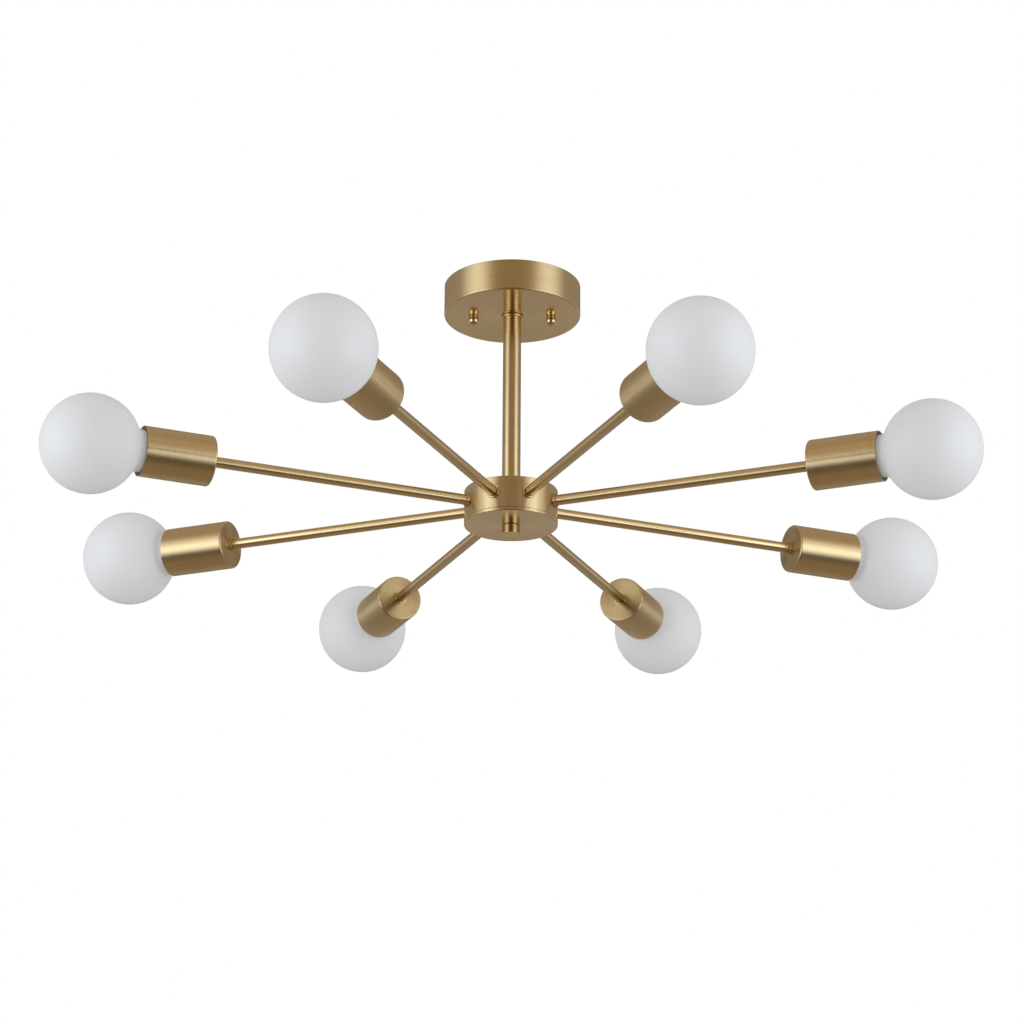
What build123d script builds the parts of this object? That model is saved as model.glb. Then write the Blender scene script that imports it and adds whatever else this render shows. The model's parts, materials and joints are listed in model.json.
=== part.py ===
from build123d import *

import os
from math import asin, cos, degrees, radians, sqrt

# An eight-armed flush-hung ceiling light in satin brass, each arm ending in a cup
# with a lampholder and an opal globe lamp.
#
# Millimetres, +Z up. The origin is the centre of the fixture on the ceiling plane,
# so the whole light hangs below z = 0. The bracket and its two studs lie along X.
# Everything on an arm is built along +X with the arm's axis at y = z = 0, and then
# turned about Z and lowered to the arms' level on the hub.

# Clearances
THREAD_GAP = 0.05  # radial, between a screw and the thread it is in
PASS_GAP = 0.15  # radial, round a rod or tube that passes through a plain hole
SLIP_GAP = 0.1  # radial, between a lip or ring and what it slips in or over
COLLAR_GAP = 0.3  # radial, between an arm and the collars that trim its ends
LAMP_GAP = 0.3  # between the lamp, which turns, and what holds it

# Canopy: a spun pan, open at the ceiling
CANOPY_D = 115.0
CANOPY_H = 27.0
CANOPY_WALL = 1.2
CANOPY_EDGE_R = 1.4

# Mounting bracket: a steel strip against the ceiling box, across the canopy's inside.
# Its end slots take box screws at the usual spacing of 88.9.
BRACKET_END_GAP = 4.3
BRACKET_WIDTH = 20.0
BRACKET_T = 2.0
BRACKET_CORNER_R = 3.0
BRACKET_HOLE_D = 10.5
BOX_SLOT_W = 4.5
BOX_SLOT_LENGTH = 10.0
BOX_SLOT_END_MARGIN = 2.55
STUD_D = 4.0
STUD_TO_SLOT = 6.75
STUD_NUT_AF = 7.0
STUD_NUT_H = 2.2
GROUND_SCREW_X = 19.0
GROUND_SCREW_D = 3.5
GROUND_HEAD_D = 8.0
GROUND_HEAD_H = 3.0

# Ball cap nuts under the canopy
BALL_D = 8.8
BALL_NUT_H = 8.2
BALL_NECK_D = 8.0
BALL_THREAD_DEPTH = 5.0

# Stem: a tube with a threaded spigot at each end
STEM_D = 15.2
STEM_LENGTH = 158.0
STEM_BORE_D = 7.0
STEM_SPIGOT_D = 10.0
STEM_SPIGOT_LENGTH = 9.0
STEM_COLLAR_D = 18.8
STEM_COLLAR_H = 2.2
STEM_NUT_AF = 14.0
STEM_NUT_H = 3.0

# Hub: a drum with a screwed-on bottom cover
HUB_D = 77.5
HUB_H = 30.0
HUB_WALL = 3.0
HUB_TOP_T = 2.5
HUB_EDGE_R = 0.9
HUB_SEAM_CHAMFER = 0.25
COVER_T = 3.0
COVER_LIP_H = 2.5
COVER_LIP_T = 1.5
STRAP_HALF_SPAN = 15.0
STRAP_WIDTH = 14.0
STRAP_H = 21.0
STRAP_T = 1.5
STRAP_BEND_R = 2.5

# Finial: the turned screw that holds the cover
FINIAL_D = 14.9
FINIAL_H = 7.7
FINIAL_EDGE = 0.5
FINIAL_SHANK_D = 6.0
FINIAL_SHANK_OVERRUN = 2.0

# Arms: they leave the hub a little above its middle
ARM_COUNT = 8
ARM_DROP = 13.0
ARM_D = 8.8
ARM_LENGTH = 221.25
ARM_BORE_D = 4.0
ARM_SPIGOT_D = 6.0
ARM_SPIGOT_OVERRUN = 1.5
HUB_COLLAR_WALL = 1.1
HUB_COLLAR_T = 2.2
CUP_COLLAR_WALL = 0.8
CUP_COLLAR_T = 2.7
COLLAR_EDGE = 0.4
SPOT_MARGIN = 0.4
ARM_NUT_AF = 10.0
ARM_NUT_H = 3.0

# Socket cups, which hide the lampholders up to the lamps' necks
CUP_WALL = 0.8
CUP_EDGE_R = 1.5
CUP_RIM_R = 0.35
NECK_SHOWN = 1.2

# Lampholders, each with a thin skirt that fills the cup's mouth round the lamp's neck
HOLDER_WALL = 3.65
HOLDER_BACK_STEP = 2.5
HOLDER_BACK_LENGTH = 11.0
HOLDER_FLOOR_T = 12.7
HOLDER_LIP = 2.5
HOLDER_EDGE_R = 1.0
HOLDER_SPIGOT_DEPTH = 6.5
SKIRT_WALL = 2.2
SKIRT_FLANGE_T = 2.0
SKIRT_INSET = 0.4
SHELL_T = 0.5
SHELL_LENGTH = 27.0
SHELL_BACK_HOLE_D = 14.0
CONTACT_D = 8.0
CONTACT_T = 1.2
CONTACT_RISE = 4.7
CONTACT_RIVET_D = 4.0
CONTACT_RIVET_DEPTH = 4.0

# Lamp: an opal globe on a 26 mm Edison screw cap
GLOBE_D = 80.0
GLASS_T = 1.2
NECK_D = 34.0
NECK_LENGTH = 4.2
NECK_BLEND_R = 6.0
NECK_TAPER_LENGTH = 5.5
CAP_D = 26.0
CAP_T = 0.5
CAP_START = 3.8
CAP_END = 27.5
CAP_BACK_D = 18.0
CAP_BACK_LENGTH = 3.2
GLASS_STUB_LENGTH = 6.0
BUTTON_D = 9.5
BUTTON_H = 1.5
BUTTON_EDGE = 0.6
INSULATOR_START_D = 12.0
INSULATOR_CONE_END = 4.2
INSULATOR_END = 6.0

# Inside the canopy
CANOPY_INNER_R = CANOPY_D / 2 - CANOPY_WALL
BRACKET_LENGTH = 2 * (CANOPY_INNER_R - BRACKET_END_GAP)
BOX_SLOT_X = BRACKET_LENGTH / 2 - BOX_SLOT_END_MARGIN - BOX_SLOT_LENGTH / 2
STUD_X = BOX_SLOT_X - BOX_SLOT_LENGTH / 2 - STUD_TO_SLOT

# Levels, from the ceiling down
CANOPY_FLOOR_Z = -CANOPY_H
CANOPY_INSIDE_Z = CANOPY_FLOOR_Z + CANOPY_WALL
HUB_TOP_Z = CANOPY_FLOOR_Z - STEM_LENGTH
HUB_INSIDE_Z = HUB_TOP_Z - HUB_TOP_T
HUB_BOTTOM_Z = HUB_TOP_Z - HUB_H
COVER_TOP_Z = HUB_BOTTOM_Z + COVER_T
STRAP_BOTTOM_Z = HUB_INSIDE_Z - STRAP_H
ARM_Z = HUB_TOP_Z - ARM_DROP

# Stations along an arm, from the hub's axis outwards
HUB_INNER_R = HUB_D / 2 - HUB_WALL
COLLAR_INNER_R = ARM_D / 2 + COLLAR_GAP
HUB_COLLAR_R = COLLAR_INNER_R + HUB_COLLAR_WALL
CUP_COLLAR_R = COLLAR_INNER_R + CUP_COLLAR_WALL
SPOT_R = HUB_COLLAR_R + SPOT_MARGIN
SPOT_X = sqrt((HUB_D / 2) ** 2 - SPOT_R**2)
CUP_END_X = SPOT_X + ARM_LENGTH
HOLDER_BACK_X = CUP_END_X + CUP_WALL + ARM_NUT_H
SHELL_BACK_X = HOLDER_BACK_X + HOLDER_FLOOR_T
HOLDER_FRONT_X = SHELL_BACK_X + SHELL_LENGTH + HOLDER_LIP
CONTACT_X = SHELL_BACK_X + CONTACT_RISE
LAMP_TIP_X = CONTACT_X + LAMP_GAP
NECK_START = CAP_END + NECK_TAPER_LENGTH
NECK_END = NECK_START + NECK_LENGTH
CUP_MOUTH_X = LAMP_TIP_X + NECK_END - NECK_SHOWN

# Radii that two pieces share
SHELL_INNER_R = CAP_D / 2 + LAMP_GAP
SHELL_OUTER_R = SHELL_INNER_R + SHELL_T
HOLDER_R = SHELL_OUTER_R + HOLDER_WALL
SKIRT_INNER_R = NECK_D / 2 + LAMP_GAP
SKIRT_R = SKIRT_INNER_R + SKIRT_WALL
CUP_INNER_R = SKIRT_R + SLIP_GAP
CUP_R = CUP_INNER_R + CUP_WALL


def profile(points, rounded=None, bevelled=None):
    """A closed outline through the points, with the numbered corners rounded or bevelled."""
    face = make_face(Polyline(*points, close=True))
    for corner, radius in (rounded or {}).items():
        face = fillet(face.vertices().sort_by_distance(points[corner])[0], radius)
    for corner, leg in (bevelled or {}).items():
        face = chamfer(face.vertices().sort_by_distance(points[corner])[0], leg)
    return face


def turned_upright(points, rounded=None, bevelled=None):
    """A turned piece on the Z axis, from (radius, z) points."""
    return revolve(Plane.XZ * profile(points, rounded, bevelled), Axis.Z)


def turned_along(points, rounded=None, bevelled=None):
    """A turned piece on the X axis, from (x, radius) points."""
    return revolve(profile(points, rounded, bevelled), Axis.X)


def ring_along(start, end, outer_r, inner_r, rounded=None, bevelled=None):
    """A plain ring on the X axis. Corners 1 and 2 are its outer edges."""
    points = [(start, inner_r), (start, outer_r), (end, outer_r), (end, inner_r)]
    return turned_along(points, rounded, bevelled)


def hex_nut(across_flats, height, thread_d):
    """A nut standing on z = 0, its corners turned off at both ends."""
    hexagon = RegularPolygon(across_flats / 2, 6, major_radius=False)
    blank = extrude(hexagon - Circle(thread_d / 2 + THREAD_GAP), height)
    corner_r = across_flats / sqrt(3)
    turned_off = corner_r - across_flats / 2
    outline = [(0, 0), (corner_r, 0), (corner_r, height), (0, height)]
    return blank & turned_upright(outline, bevelled={1: turned_off, 2: turned_off})


def upright_rod(radius, bottom, top):
    """A plain rod on the Z axis between two levels."""
    return Pos(0, 0, bottom) * extrude(Circle(radius), top - bottom)


def group(solids):
    """Several separate solids as one node."""
    return Compound([solid for piece in solids for solid in piece.solids()])


def at_studs(piece):
    """The piece at both stud places."""
    return [Pos(side * STUD_X, 0, 0) * piece for side in (-1, 1)]


def arm_places():
    """Where each arm's own axis lies: the first is half a pitch from +X."""
    pitch = 360 / ARM_COUNT
    return [Pos(0, 0, ARM_Z) * Rot(0, 0, pitch * (i + 0.5)) for i in range(ARM_COUNT)]


def on_arms(piece):
    """The piece on every arm."""
    return [place * piece for place in arm_places()]


# Ceiling end


def canopy():
    rim_r = CANOPY_D / 2
    hole_r = STEM_SPIGOT_D / 2 + PASS_GAP
    pan = turned_upright(
        [
            (hole_r, CANOPY_FLOOR_Z),
            (rim_r, CANOPY_FLOOR_Z),
            (rim_r, 0),
            (CANOPY_INNER_R, 0),
            (CANOPY_INNER_R, CANOPY_INSIDE_Z),
            (hole_r, CANOPY_INSIDE_Z),
        ],
        rounded={1: CANOPY_EDGE_R},
    )
    stud_hole = upright_rod(STUD_D / 2 + PASS_GAP, CANOPY_FLOOR_Z, CANOPY_INSIDE_Z)
    return pan - at_studs(stud_hole)


def mounting_bracket():
    strip = RectangleRounded(BRACKET_LENGTH, BRACKET_WIDTH, BRACKET_CORNER_R)
    strip -= Circle(BRACKET_HOLE_D / 2)
    strip -= at_studs(Circle(STUD_D / 2 + THREAD_GAP))
    strip -= Pos(GROUND_SCREW_X, 0) * Circle(GROUND_SCREW_D / 2 + THREAD_GAP)
    for side in (-1, 1):
        box_slot = SlotOverall(BOX_SLOT_LENGTH, BOX_SLOT_W)
        strip -= Pos(side * BOX_SLOT_X, 0) * box_slot
    return extrude(strip, -BRACKET_T)


def bracket_studs():
    end_z = CANOPY_FLOOR_Z - BALL_THREAD_DEPTH + THREAD_GAP
    stud = upright_rod(STUD_D / 2, end_z, 0)
    jam_nut = Pos(0, 0, -BRACKET_T - STUD_NUT_H) * hex_nut(STUD_NUT_AF, STUD_NUT_H, STUD_D)
    return group(at_studs(stud) + at_studs(jam_nut))


def ground_screw():
    head_z = -BRACKET_T - GROUND_HEAD_H
    shank_r = GROUND_SCREW_D / 2
    head_r = GROUND_HEAD_D / 2
    screw = turned_upright(
        [
            (0, head_z),
            (head_r, head_z),
            (head_r, -BRACKET_T),
            (shank_r, -BRACKET_T),
            (shank_r, 0),
            (0, 0),
        ],
        rounded={1: GROUND_HEAD_H / 3},
    )
    return Pos(GROUND_SCREW_X, 0, 0) * screw


def ball_cap_nuts():
    ball_r = BALL_D / 2
    ball_z = CANOPY_FLOOR_Z - BALL_NUT_H + ball_r
    neck = upright_rod(BALL_NECK_D / 2, ball_z, CANOPY_FLOOR_Z)
    thread = upright_rod(
        STUD_D / 2 + THREAD_GAP, CANOPY_FLOOR_Z - BALL_THREAD_DEPTH, CANOPY_FLOOR_Z
    )
    above = Pos(0, 0, CANOPY_FLOOR_Z) * Cylinder(
        ball_r, ball_r, align=(Align.CENTER, Align.CENTER, Align.MIN)
    )
    ball = Pos(0, 0, ball_z) * Sphere(ball_r) - above
    return group(at_studs(ball + neck - thread))


# Stem


def stem():
    tube_r, spigot_r, bore_r = STEM_D / 2, STEM_SPIGOT_D / 2, STEM_BORE_D / 2
    top_z = CANOPY_FLOOR_Z + STEM_SPIGOT_LENGTH
    bottom_z = HUB_TOP_Z - STEM_SPIGOT_LENGTH
    return turned_upright(
        [
            (bore_r, bottom_z),
            (spigot_r, bottom_z),
            (spigot_r, HUB_TOP_Z),
            (tube_r, HUB_TOP_Z),
            (tube_r, CANOPY_FLOOR_Z),
            (spigot_r, CANOPY_FLOOR_Z),
            (spigot_r, top_z),
            (bore_r, top_z),
        ]
    )


def stem_collar():
    inner_r = STEM_D / 2 + SLIP_GAP
    bottom_z = CANOPY_FLOOR_Z - STEM_COLLAR_H
    return turned_upright(
        [
            (inner_r, bottom_z),
            (STEM_COLLAR_D / 2, bottom_z),
            (STEM_COLLAR_D / 2, CANOPY_FLOOR_Z),
            (inner_r, CANOPY_FLOOR_Z),
        ],
        rounded={1: (STEM_COLLAR_D / 2 - inner_r) / 2},
    )


def stem_locknuts():
    nut = hex_nut(STEM_NUT_AF, STEM_NUT_H, STEM_SPIGOT_D)
    in_canopy = Pos(0, 0, CANOPY_INSIDE_Z) * nut
    under_strap = Pos(0, 0, HUB_INSIDE_Z - STRAP_T - STEM_NUT_H) * nut
    return group([in_canopy, under_strap])


# Hub


def hub_body():
    outer_r = HUB_D / 2
    hole_r = STEM_SPIGOT_D / 2 + PASS_GAP
    drum = turned_upright(
        [
            (hole_r, HUB_TOP_Z),
            (outer_r, HUB_TOP_Z),
            (outer_r, COVER_TOP_Z),
            (HUB_INNER_R, COVER_TOP_Z),
            (HUB_INNER_R, HUB_INSIDE_Z),
            (hole_r, HUB_INSIDE_Z),
        ],
        rounded={1: HUB_EDGE_R},
        bevelled={2: HUB_SEAM_CHAMFER},
    )
    spot_face = ring_along(SPOT_X, outer_r, SPOT_R, 0)
    port = ring_along(HUB_INNER_R - HUB_WALL, outer_r, ARM_SPIGOT_D / 2 + PASS_GAP, 0)
    return drum - on_arms(spot_face + port)


def hub_cover():
    outer_r = HUB_D / 2
    hole_r = FINIAL_SHANK_D / 2 + PASS_GAP
    lip_r = HUB_INNER_R - SLIP_GAP
    lip_z = COVER_TOP_Z + COVER_LIP_H
    return turned_upright(
        [
            (hole_r, HUB_BOTTOM_Z),
            (outer_r, HUB_BOTTOM_Z),
            (outer_r, COVER_TOP_Z),
            (lip_r, COVER_TOP_Z),
            (lip_r, lip_z),
            (lip_r - COVER_LIP_T, lip_z),
            (lip_r - COVER_LIP_T, COVER_TOP_Z),
            (hole_r, COVER_TOP_Z),
        ],
        rounded={1: HUB_EDGE_R},
        bevelled={2: HUB_SEAM_CHAMFER},
    )


def hub_strap():
    """A bent strip that hangs under the hub's top and takes the finial's screw."""
    span = 2 * STRAP_HALF_SPAN
    middle_z = HUB_INSIDE_Z - STRAP_H / 2
    outer = RectangleRounded(span, STRAP_H, STRAP_BEND_R)
    inner = RectangleRounded(span - 2 * STRAP_T, STRAP_H - 2 * STRAP_T, STRAP_BEND_R - STRAP_T)
    loop = extrude(Plane.XZ * (outer - inner), STRAP_WIDTH / 2, both=True)
    strap = Pos(0, 0, middle_z) * loop
    top_hole = upright_rod(STEM_SPIGOT_D / 2 + PASS_GAP, middle_z, HUB_INSIDE_Z)
    screw_hole = upright_rod(FINIAL_SHANK_D / 2 + THREAD_GAP, STRAP_BOTTOM_Z, middle_z)
    return strap - top_hole - screw_hole


def finial():
    head_z = HUB_BOTTOM_Z - FINIAL_H
    shank_r = FINIAL_SHANK_D / 2
    shank_z = STRAP_BOTTOM_Z + STRAP_T + FINIAL_SHANK_OVERRUN
    return turned_upright(
        [
            (0, head_z),
            (FINIAL_D / 2, head_z),
            (FINIAL_D / 2, HUB_BOTTOM_Z),
            (shank_r, HUB_BOTTOM_Z),
            (shank_r, shank_z),
            (0, shank_z),
        ],
        bevelled={1: FINIAL_EDGE},
    )


# Arms


def hub_nut_x():
    """Where a nut's corners meet the round inside of the hub."""
    corner_r = ARM_NUT_AF / sqrt(3)
    return sqrt(HUB_INNER_R**2 - corner_r**2) - THREAD_GAP


def arm_tube():
    tube_r, spigot_r, bore_r = ARM_D / 2, ARM_SPIGOT_D / 2, ARM_BORE_D / 2
    inner_end = hub_nut_x() - ARM_NUT_H - ARM_SPIGOT_OVERRUN
    outer_end = HOLDER_BACK_X + HOLDER_SPIGOT_DEPTH
    return turned_along(
        [
            (inner_end, bore_r),
            (inner_end, spigot_r),
            (SPOT_X, spigot_r),
            (SPOT_X, tube_r),
            (CUP_END_X, tube_r),
            (CUP_END_X, spigot_r),
            (outer_end, spigot_r),
            (outer_end, bore_r),
        ]
    )


def hub_arm_collar():
    end_x = SPOT_X + HUB_COLLAR_T
    return ring_along(SPOT_X, end_x, HUB_COLLAR_R, COLLAR_INNER_R, rounded={2: COLLAR_EDGE})


def cup_arm_collar():
    start_x = CUP_END_X - CUP_COLLAR_T
    return ring_along(start_x, CUP_END_X, CUP_COLLAR_R, COLLAR_INNER_R, rounded={1: COLLAR_EDGE})


def arm_locknut(start_x):
    return Pos(start_x, 0, 0) * Rot(0, 90, 0) * hex_nut(ARM_NUT_AF, ARM_NUT_H, ARM_SPIGOT_D)


def socket_cup():
    hole_r = ARM_SPIGOT_D / 2 + PASS_GAP
    inside_x = CUP_END_X + CUP_WALL
    return turned_along(
        [
            (CUP_END_X, hole_r),
            (CUP_END_X, CUP_R),
            (CUP_MOUTH_X, CUP_R),
            (CUP_MOUTH_X, CUP_INNER_R),
            (inside_x, CUP_INNER_R),
            (inside_x, hole_r),
        ],
        rounded={1: CUP_EDGE_R, 2: CUP_RIM_R, 3: CUP_RIM_R},
    )


# Lampholders


def lampholder_body():
    """A socket with a narrower back, and a skirt that runs on to the cup's mouth."""
    back_r = HOLDER_R - HOLDER_BACK_STEP
    step_x = HOLDER_BACK_X + HOLDER_BACK_LENGTH
    flange_x = HOLDER_FRONT_X - SKIRT_FLANGE_T
    skirt_end_x = CUP_MOUTH_X - SKIRT_INSET
    socket_r = SHELL_OUTER_R + THREAD_GAP
    spigot_x = HOLDER_BACK_X + HOLDER_SPIGOT_DEPTH + PASS_GAP
    rivet_x = SHELL_BACK_X - CONTACT_RIVET_DEPTH - PASS_GAP
    body = turned_along(
        [
            (HOLDER_BACK_X, 0),
            (HOLDER_BACK_X, back_r),
            (step_x, back_r),
            (step_x, HOLDER_R),
            (flange_x, HOLDER_R),
            (flange_x, SKIRT_R),
            (skirt_end_x, SKIRT_R),
            (skirt_end_x, SKIRT_INNER_R),
            (HOLDER_FRONT_X, SKIRT_INNER_R),
            (HOLDER_FRONT_X, socket_r),
            (SHELL_BACK_X, socket_r),
            (SHELL_BACK_X, 0),
        ],
        rounded={1: HOLDER_EDGE_R, 3: HOLDER_EDGE_R, 7: CUP_RIM_R},
    )
    spigot_hole = ring_along(HOLDER_BACK_X, spigot_x, ARM_SPIGOT_D / 2 + THREAD_GAP, 0)
    rivet_hole = ring_along(rivet_x, SHELL_BACK_X, CONTACT_RIVET_D / 2 + THREAD_GAP, 0)
    return body - spigot_hole - rivet_hole


def screw_shell():
    """The brass thread shell, here with a plain wall at the thread's crests."""
    back_r = SHELL_BACK_HOLE_D / 2
    front_x = SHELL_BACK_X + SHELL_LENGTH
    return turned_along(
        [
            (SHELL_BACK_X, back_r),
            (SHELL_BACK_X, SHELL_OUTER_R),
            (front_x, SHELL_OUTER_R),
            (front_x, SHELL_INNER_R),
            (SHELL_BACK_X + SHELL_T, SHELL_INNER_R),
            (SHELL_BACK_X + SHELL_T, back_r),
        ]
    )


def centre_contact():
    rivet_x = SHELL_BACK_X - CONTACT_RIVET_DEPTH
    head_x = CONTACT_X - CONTACT_T
    return turned_along(
        [
            (rivet_x, 0),
            (rivet_x, CONTACT_RIVET_D / 2),
            (head_x, CONTACT_RIVET_D / 2),
            (head_x, CONTACT_D / 2),
            (CONTACT_X, CONTACT_D / 2),
            (CONTACT_X, 0),
        ],
        rounded={4: CONTACT_T / 2},
    )


# Lamps: stations are measured from the tip of the lamp's centre contact


def glass_line(inset):
    """The globe, its blend and its neck as one line, inset by a wall.

    The blend arc stays tangent to the globe and the neck: its centre is the same for
    every inset. Returns the edges from the crown to the taper and the taper's far end.
    """
    globe_r = GLOBE_D / 2 - inset
    neck_r = NECK_D / 2 - inset
    blend_r = NECK_BLEND_R + inset
    blend_y = neck_r + blend_r
    tilt = degrees(asin(blend_y / (globe_r + blend_r)))
    globe_x = NECK_END + (globe_r + blend_r) * cos(radians(tilt))
    taper_end = (CAP_END, CAP_D / 2 - inset)
    edges = [
        CenterArc((globe_x, 0), globe_r, 0, 180 - tilt),
        CenterArc((NECK_END, blend_y), blend_r, -90, 90 - tilt),
        Line((NECK_END, neck_r), (NECK_START, neck_r)),
        Line((NECK_START, neck_r), taper_end),
    ]
    return edges, taper_end, (globe_x + globe_r, 0)


def bulb_globe():
    outside, outer_end, outer_crown = glass_line(0)
    inside, inner_end, inner_crown = glass_line(GLASS_T)
    stub_r = CAP_D / 2 - CAP_T - SLIP_GAP
    stub_x = CAP_END - GLASS_STUB_LENGTH
    stub = Polyline(
        outer_end,
        (CAP_END, stub_r),
        (stub_x, stub_r),
        (stub_x, inner_end[1]),
        inner_end,
    )
    crown = Line(outer_crown, inner_crown)
    return revolve(make_face(outside + inside + stub.edges() + [crown]), Axis.X)


def bulb_cap():
    """The lamp's screw cap, here with a plain wall at the thread's crests."""
    cap_r, back_r = CAP_D / 2, CAP_BACK_D / 2
    shoulder_x = CAP_START + CAP_BACK_LENGTH
    return turned_along(
        [
            (CAP_START, back_r),
            (shoulder_x, cap_r),
            (CAP_END, cap_r),
            (CAP_END, cap_r - CAP_T),
            (shoulder_x + CAP_T / 2, cap_r - CAP_T),
            (CAP_START + CAP_T, back_r),
        ]
    )


def bulb_tip():
    """The cap's insulator with the centre contact's button on it."""
    button_r = BUTTON_D / 2
    insulator_r = CAP_BACK_D / 2 - LAMP_GAP
    return turned_along(
        [
            (0, 0),
            (0, button_r),
            (BUTTON_H, button_r),
            (BUTTON_H, INSULATOR_START_D / 2),
            (INSULATOR_CONE_END, insulator_r),
            (INSULATOR_END, insulator_r),
            (INSULATOR_END, 0),
        ],
        rounded={1: BUTTON_EDGE},
    )


def build():
    """Every node by name."""
    seated = Pos(LAMP_TIP_X, 0, 0)
    nodes = {
        "canopy": canopy(),
        "mounting_bracket": mounting_bracket(),
        "bracket_studs": bracket_studs(),
        "ground_screw": ground_screw(),
        "ball_cap_nuts": ball_cap_nuts(),
        "stem": stem(),
        "stem_collar": stem_collar(),
        "stem_locknuts": stem_locknuts(),
        "hub_body": hub_body(),
        "hub_cover": hub_cover(),
        "hub_strap": hub_strap(),
        "finial": finial(),
        "hub_arm_collars": group(on_arms(hub_arm_collar())),
        "cup_arm_collars": group(on_arms(cup_arm_collar())),
        "hub_arm_locknuts": group(on_arms(arm_locknut(hub_nut_x() - ARM_NUT_H))),
        "cup_arm_locknuts": group(on_arms(arm_locknut(CUP_END_X + CUP_WALL))),
        "lampholder_bodies": group(on_arms(lampholder_body())),
        "screw_shells": group(on_arms(screw_shell())),
        "centre_contacts": group(on_arms(centre_contact())),
    }
    one_per_arm = {
        "arm_tube": arm_tube(),
        "socket_cup": socket_cup(),
        "bulb_globe": seated * bulb_globe(),
        "bulb_cap": seated * bulb_cap(),
        "bulb_tip": seated * bulb_tip(),
    }
    for name, piece in one_per_arm.items():
        for number, placed in enumerate(on_arms(piece), start=1):
            nodes[f"{name}_{number}"] = placed
    return nodes


os.makedirs("parts", exist_ok=True)
for name, piece in build().items():
    export_step(piece, f"parts/{name}.step")
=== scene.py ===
import json
from math import acos, atan2, ceil, cos, pi, radians, sin, sqrt, tau

import bmesh
import bpy
from mathutils import Matrix, Vector


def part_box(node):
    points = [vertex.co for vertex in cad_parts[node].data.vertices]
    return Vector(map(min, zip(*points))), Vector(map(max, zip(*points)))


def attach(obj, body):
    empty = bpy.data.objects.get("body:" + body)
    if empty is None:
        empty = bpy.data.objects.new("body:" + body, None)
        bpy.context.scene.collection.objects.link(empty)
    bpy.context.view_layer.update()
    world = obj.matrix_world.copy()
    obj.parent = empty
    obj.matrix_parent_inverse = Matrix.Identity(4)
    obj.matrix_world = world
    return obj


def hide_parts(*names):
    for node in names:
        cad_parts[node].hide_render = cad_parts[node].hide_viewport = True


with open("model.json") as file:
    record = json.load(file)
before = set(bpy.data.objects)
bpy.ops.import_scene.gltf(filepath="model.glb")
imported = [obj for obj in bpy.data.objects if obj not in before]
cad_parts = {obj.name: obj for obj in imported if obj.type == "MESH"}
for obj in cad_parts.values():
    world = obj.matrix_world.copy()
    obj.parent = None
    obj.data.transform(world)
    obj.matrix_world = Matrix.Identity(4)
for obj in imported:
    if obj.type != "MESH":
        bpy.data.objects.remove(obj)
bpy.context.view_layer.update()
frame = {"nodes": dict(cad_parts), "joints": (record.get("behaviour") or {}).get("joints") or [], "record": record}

# The looks of an eight-armed ceiling light: satin brass, opal globe lamps, and the
# zinc and plastic parts inside. Metres, in the row frame: the ceiling is z = 0 and
# the light hangs below it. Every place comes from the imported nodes; the sizes below
# are the small ones that a node's box doesn't tell.

MM = 0.001

# Small sizes of the fixture
CANOPY_WALL = 1.2 * MM
CANOPY_EDGE_R = 1.4 * MM
RIM_R = 0.3 * MM
STEM_BORE_R = 3.5 * MM
STEM_SPIGOT_R = 5 * MM
BALL_R = 4.4 * MM
BALL_NECK_R = 4 * MM
HUB_WALL = 3 * MM
HUB_TOP_T = 2.5 * MM
HUB_EDGE_R = 0.9 * MM
SEAM_CHAMFER = 0.25 * MM
SEAM_GROOVE_H = 0.25 * MM
SEAM_GROOVE_DEPTH = 0.5 * MM
COVER_LIP_T = 1.5 * MM
COVER_LIP_H = 2.5 * MM
FINIAL_EDGE = 0.5 * MM
SEAT_EDGE = 0.7 * MM
FINIAL_SHANK_R = 3 * MM
ARM_BORE_R = 2 * MM
ARM_SPIGOT_R = 3 * MM
COLLAR_EDGE = 0.4 * MM
HUB_COLLAR_T = 2.2 * MM
CUP_COLLAR_T = 2.7 * MM
CUP_COLLAR_R = 5.5 * MM
CUP_WALL = 0.8 * MM
CUP_EDGE_R = 1.5 * MM
CUP_RIM_R = 0.35 * MM
SPOT_MARGIN = 0.4 * MM
CUTTER_H = 10 * MM
COLLAR_GAP = 0.3 * MM
SLIP_GAP = 0.1 * MM
SPIGOT_PITCH = 1.0 * MM
SPIGOT_THREAD_DEPTH = 0.5 * MM

# Small sizes of the lamps and their threads
GLASS_T = 1.2 * MM
NECK_R = 17 * MM
NECK_BLEND_R = 6 * MM
NECK_TAPER = 5.5 * MM
CAP_T = 0.5 * MM
CAP_BACK_R = 9 * MM
CAP_SHOULDER = 3.2 * MM
CAP_SHOULDER_EDGE = 1.2 * MM
CAP_LIP_EDGE = 0.2 * MM
CAP_SKIRT = 4.5 * MM
LAMP_THREAD_DEPTH = 0.65 * MM
BUTTON_R = 4.75 * MM
BUTTON_H = 1.5 * MM
BUTTON_EDGE = 0.6 * MM
BUTTON_TAPER = 0.4 * MM
BUTTON_SEAT = 0.2 * MM
INSULATOR_START_R = 6 * MM
INSULATOR_START_EDGE = 0.3 * MM
INSULATOR_CONE_END = 4.2 * MM
INSULATOR_R = 8.7 * MM
INSULATOR_EDGE = 0.6 * MM
SHELL_T = 0.5 * MM
SHELL_BACK_R = 7 * MM
CONTACT_RISE = 4.7 * MM
LAMP_GAP = 0.3 * MM

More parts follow.
